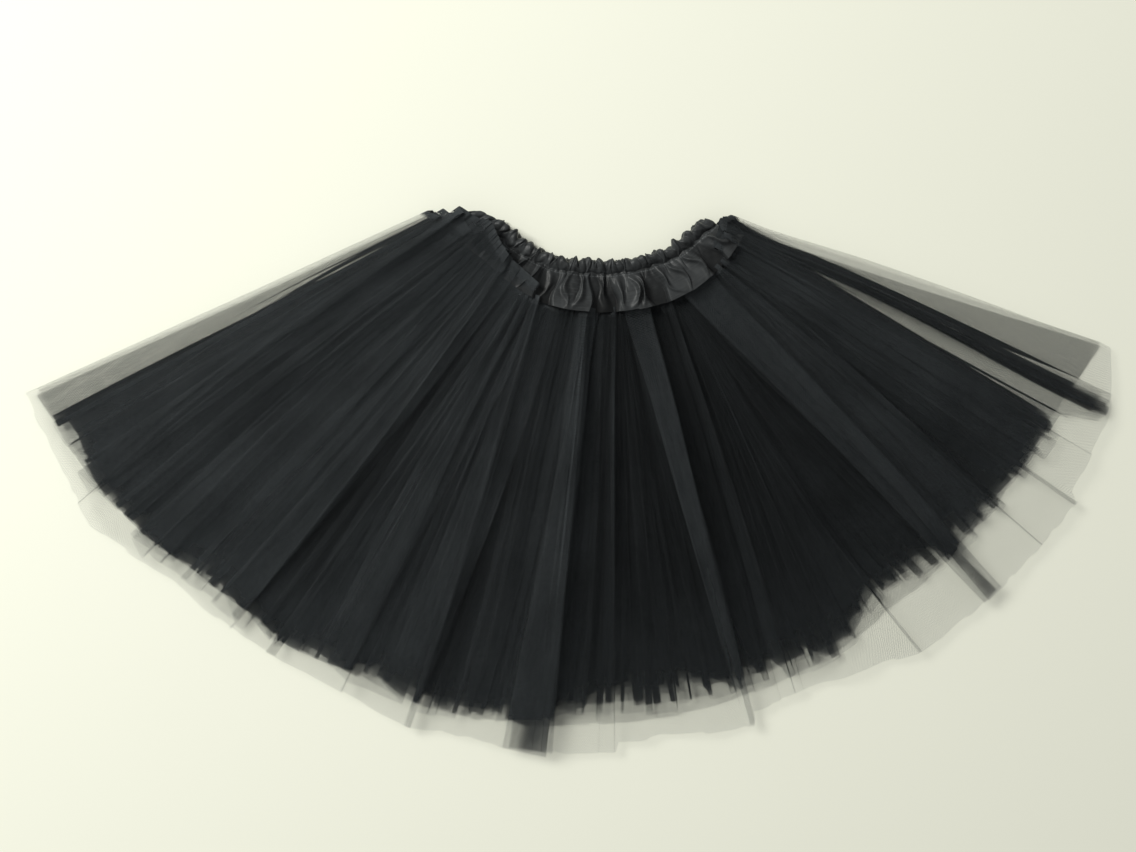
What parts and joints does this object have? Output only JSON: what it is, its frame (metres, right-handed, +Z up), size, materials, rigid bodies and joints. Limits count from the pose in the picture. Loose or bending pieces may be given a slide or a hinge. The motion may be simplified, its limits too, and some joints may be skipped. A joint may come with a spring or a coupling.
{
  "type": "ballet tutu",
  "caption": "Black tulle ballet tutu skirt with layered hems on a ruched satin waistband, laid flat and fanned out with its front over its back.",
  "frame": {"origin": "centre of the bounding box's footprint, on the surface that the skirt lies on", "axes": "+X across the fan with the front of the skirt uppermost, +Y from the hem towards the waist, +Z up off the surface"},
  "size_m": [0.6706, 0.3382, 0.0254],
  "materials": {
    "satin": "black polyester satin, glossy along its ruches",
    "tulle_outer": "black nylon tulle, sheer hexagonal net, matt",
    "tulle_second": "black nylon tulle, sheer hexagonal net, matt",
    "tulle_third": "black nylon tulle, gathered several folds deep, matt",
    "tulle_inner": "black nylon tulle, gathered several folds deep, matt"
  },
  "bodies": {
    "root": {"waistband": "satin", "tulle_outer": "tulle_outer", "tulle_second": "tulle_second", "tulle_third": "tulle_third", "tulle_inner": "tulle_inner"}
  },
  "joints": []
}
